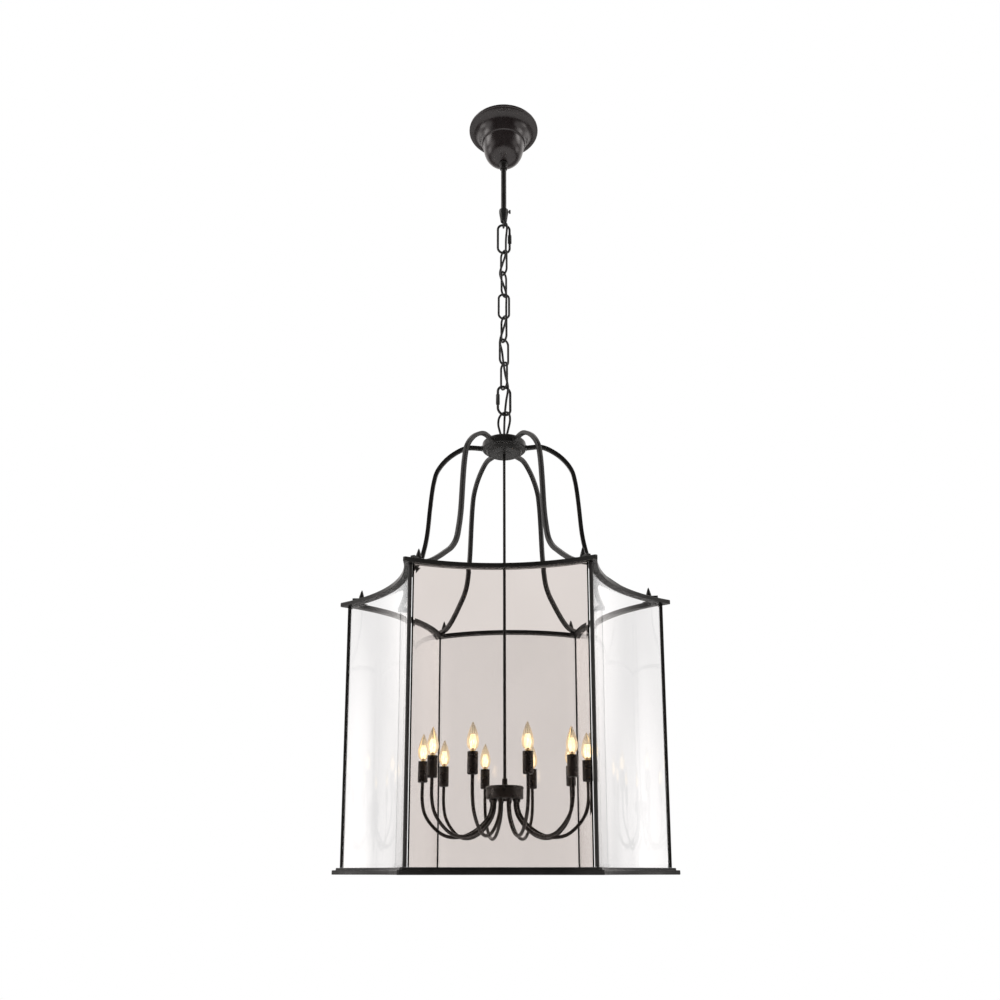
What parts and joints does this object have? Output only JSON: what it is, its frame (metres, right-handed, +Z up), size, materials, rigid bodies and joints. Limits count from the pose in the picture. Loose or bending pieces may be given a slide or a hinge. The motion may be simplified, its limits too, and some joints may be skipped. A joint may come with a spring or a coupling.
{
  "type": "hanging lantern",
  "caption": "Large hexagonal hanging lantern: inward-bent glass panels in a black metal frame, arched crown, candle lights on a centre rod, hung by a chain and tube from a round ceiling canopy.",
  "frame": {"origin": "on the ceiling plane, on the lantern's vertical axis, midway between the bracket's two screw holes", "axes": "+Z up, along the axis from the lantern to the ceiling; +X towards the corner post 1 and along the bracket's screw holes; +Y so that glass panel 2 faces it"},
  "size_m": [1.0562, 0.9176, 2.779],
  "materials": {
    "black_metal": "satin black paint over steel",
    "bronze_metal": "satin dark bronze over steel",
    "plated_steel": "zinc plated",
    "terminal_plastic": "matte off-white moulding",
    "cord_jacket": "matte black round cord",
    "panel_glass": "clear bent glass with polished edges",
    "bulb_glass": "clear candle bulb glass"
  },
  "bodies": {
    "ceiling_fitting": {"mounting_bracket": "plated_steel", "stem_locknut": "plated_steel", "terminal_block": "terminal_plastic", "stem_tube": "black_metal", "loop_coupler": "black_metal", "supply_cord": "cord_jacket"},
    "canopy": {"canopy": "bronze_metal", "collar_nut": "black_metal"},
    "quick_link_upper": {"quick_link_upper": "black_metal"},
    "chain_link_1": {"chain_link_1": "black_metal"},
    "chain_link_2": {"chain_link_2": "black_metal"},
    "chain_link_3": {"chain_link_3": "black_metal"},
    "chain_link_4": {"chain_link_4": "black_metal"},
    "chain_link_5": {"chain_link_5": "black_metal"},
    "chain_link_6": {"chain_link_6": "black_metal"},
    "quick_link_lower": {"quick_link_lower": "black_metal"},
    "lantern": {"hub_eye": "black_metal", "crown_hub": "black_metal", "crown_arm_1": "black_metal", "crown_arm_2": "black_metal", "crown_arm_3": "black_metal", "crown_arm_4": "black_metal", "crown_arm_5": "black_metal", "crown_arm_6": "black_metal", "top_ring": "black_metal", "bottom_ring": "black_metal", "corner_post_1": "black_metal", "glass_panel_1": "panel_glass", "corner_post_2": "black_metal", "glass_panel_2": "panel_glass", "corner_post_3": "black_metal", "glass_panel_3": "panel_glass", "corner_post_4": "black_metal", "glass_panel_4": "panel_glass", "corner_post_5": "black_metal", "glass_panel_5": "panel_glass", "corner_post_6": "black_metal", "glass_panel_6": "panel_glass", "centre_rod": "black_metal", "cluster_hub": "bronze_metal", "candle_arm_1": "bronze_metal", "bulb_1": "bulb_glass", "candle_arm_2": "bronze_metal", "bulb_2": "bulb_glass", "candle_arm_3": "bronze_metal", "bulb_3": "bulb_glass", "candle_arm_4": "bronze_metal", "bulb_4": "bulb_glass", "candle_arm_5": "bronze_metal", "bulb_5": "bulb_glass", "candle_arm_6": "bronze_metal", "bulb_6": "bulb_glass", "candle_arm_7": "bronze_metal", "bulb_7": "bulb_glass", "candle_arm_8": "bronze_metal", "bulb_8": "bulb_glass", "candle_arm_9": "bronze_metal", "bulb_9": "bulb_glass", "candle_arm_10": "bronze_metal", "bulb_10": "bulb_glass"}
  },
  "joints": [
    {"name": "canopy_slide", "type": "slide", "parent": "ceiling_fitting", "child": "canopy", "axis": [0, 0, -1], "range_m": [0, 0.19]},
    {"name": "coupler_to_quick_link", "type": "hinge", "parent": "ceiling_fitting", "child": "quick_link_upper", "pos_m": [0, 0, -0.481], "axis": [-0.1392, 0.9903, 0], "range_deg": [-8, 8], "deforming": ["supply_cord"]},
    {"name": "quick_link_to_link_1", "type": "hinge", "parent": "quick_link_upper", "child": "chain_link_1", "pos_m": [0, 0, -0.60275], "axis": [0.9903, 0.1392, 0], "range_deg": [-8, 8], "deforming": ["supply_cord"]},
    {"name": "link_1_to_link_2", "type": "hinge", "parent": "chain_link_1", "child": "chain_link_2", "pos_m": [0, 0, -0.70025], "axis": [0.5736, -0.8192, 0], "range_deg": [-8, 8], "deforming": ["supply_cord"]},
    {"name": "link_2_to_link_3", "type": "hinge", "parent": "chain_link_2", "child": "chain_link_3", "pos_m": [0, 0, -0.79825], "axis": [0.4226, 0.9063, 0], "range_deg": [-8, 8], "deforming": ["supply_cord"]},
    {"name": "link_3_to_link_4", "type": "hinge", "parent": "chain_link_3", "child": "chain_link_4", "pos_m": [0, 0, -0.89625], "axis": [0.9962, 0.0872, 0], "range_deg": [-8, 8], "deforming": ["supply_cord"]},
    {"name": "link_4_to_link_5", "type": "hinge", "parent": "chain_link_4", "child": "chain_link_5", "pos_m": [0, 0, -0.99425], "axis": [0.5, -0.866, 0], "range_deg": [-8, 8], "deforming": ["supply_cord"]},
    {"name": "link_5_to_link_6", "type": "hinge", "parent": "chain_link_5", "child": "chain_link_6", "pos_m": [0, 0, -1.09225], "axis": [0.766, 0.6428, 0], "range_deg": [-8, 8], "deforming": ["supply_cord"]},
    {"name": "link_6_to_quick_link", "type": "hinge", "parent": "chain_link_6", "child": "quick_link_lower", "pos_m": [0, 0, -1.19025], "axis": [0.5736, -0.8192, 0], "range_deg": [-8, 8], "deforming": ["supply_cord"]},
    {"name": "quick_link_to_lantern", "type": "hinge", "parent": "quick_link_lower", "child": "lantern", "pos_m": [0, 0, -1.29375], "axis": [0.9063, 0.4226, 0], "range_deg": [-8, 8], "deforming": ["supply_cord"]}
  ]
}
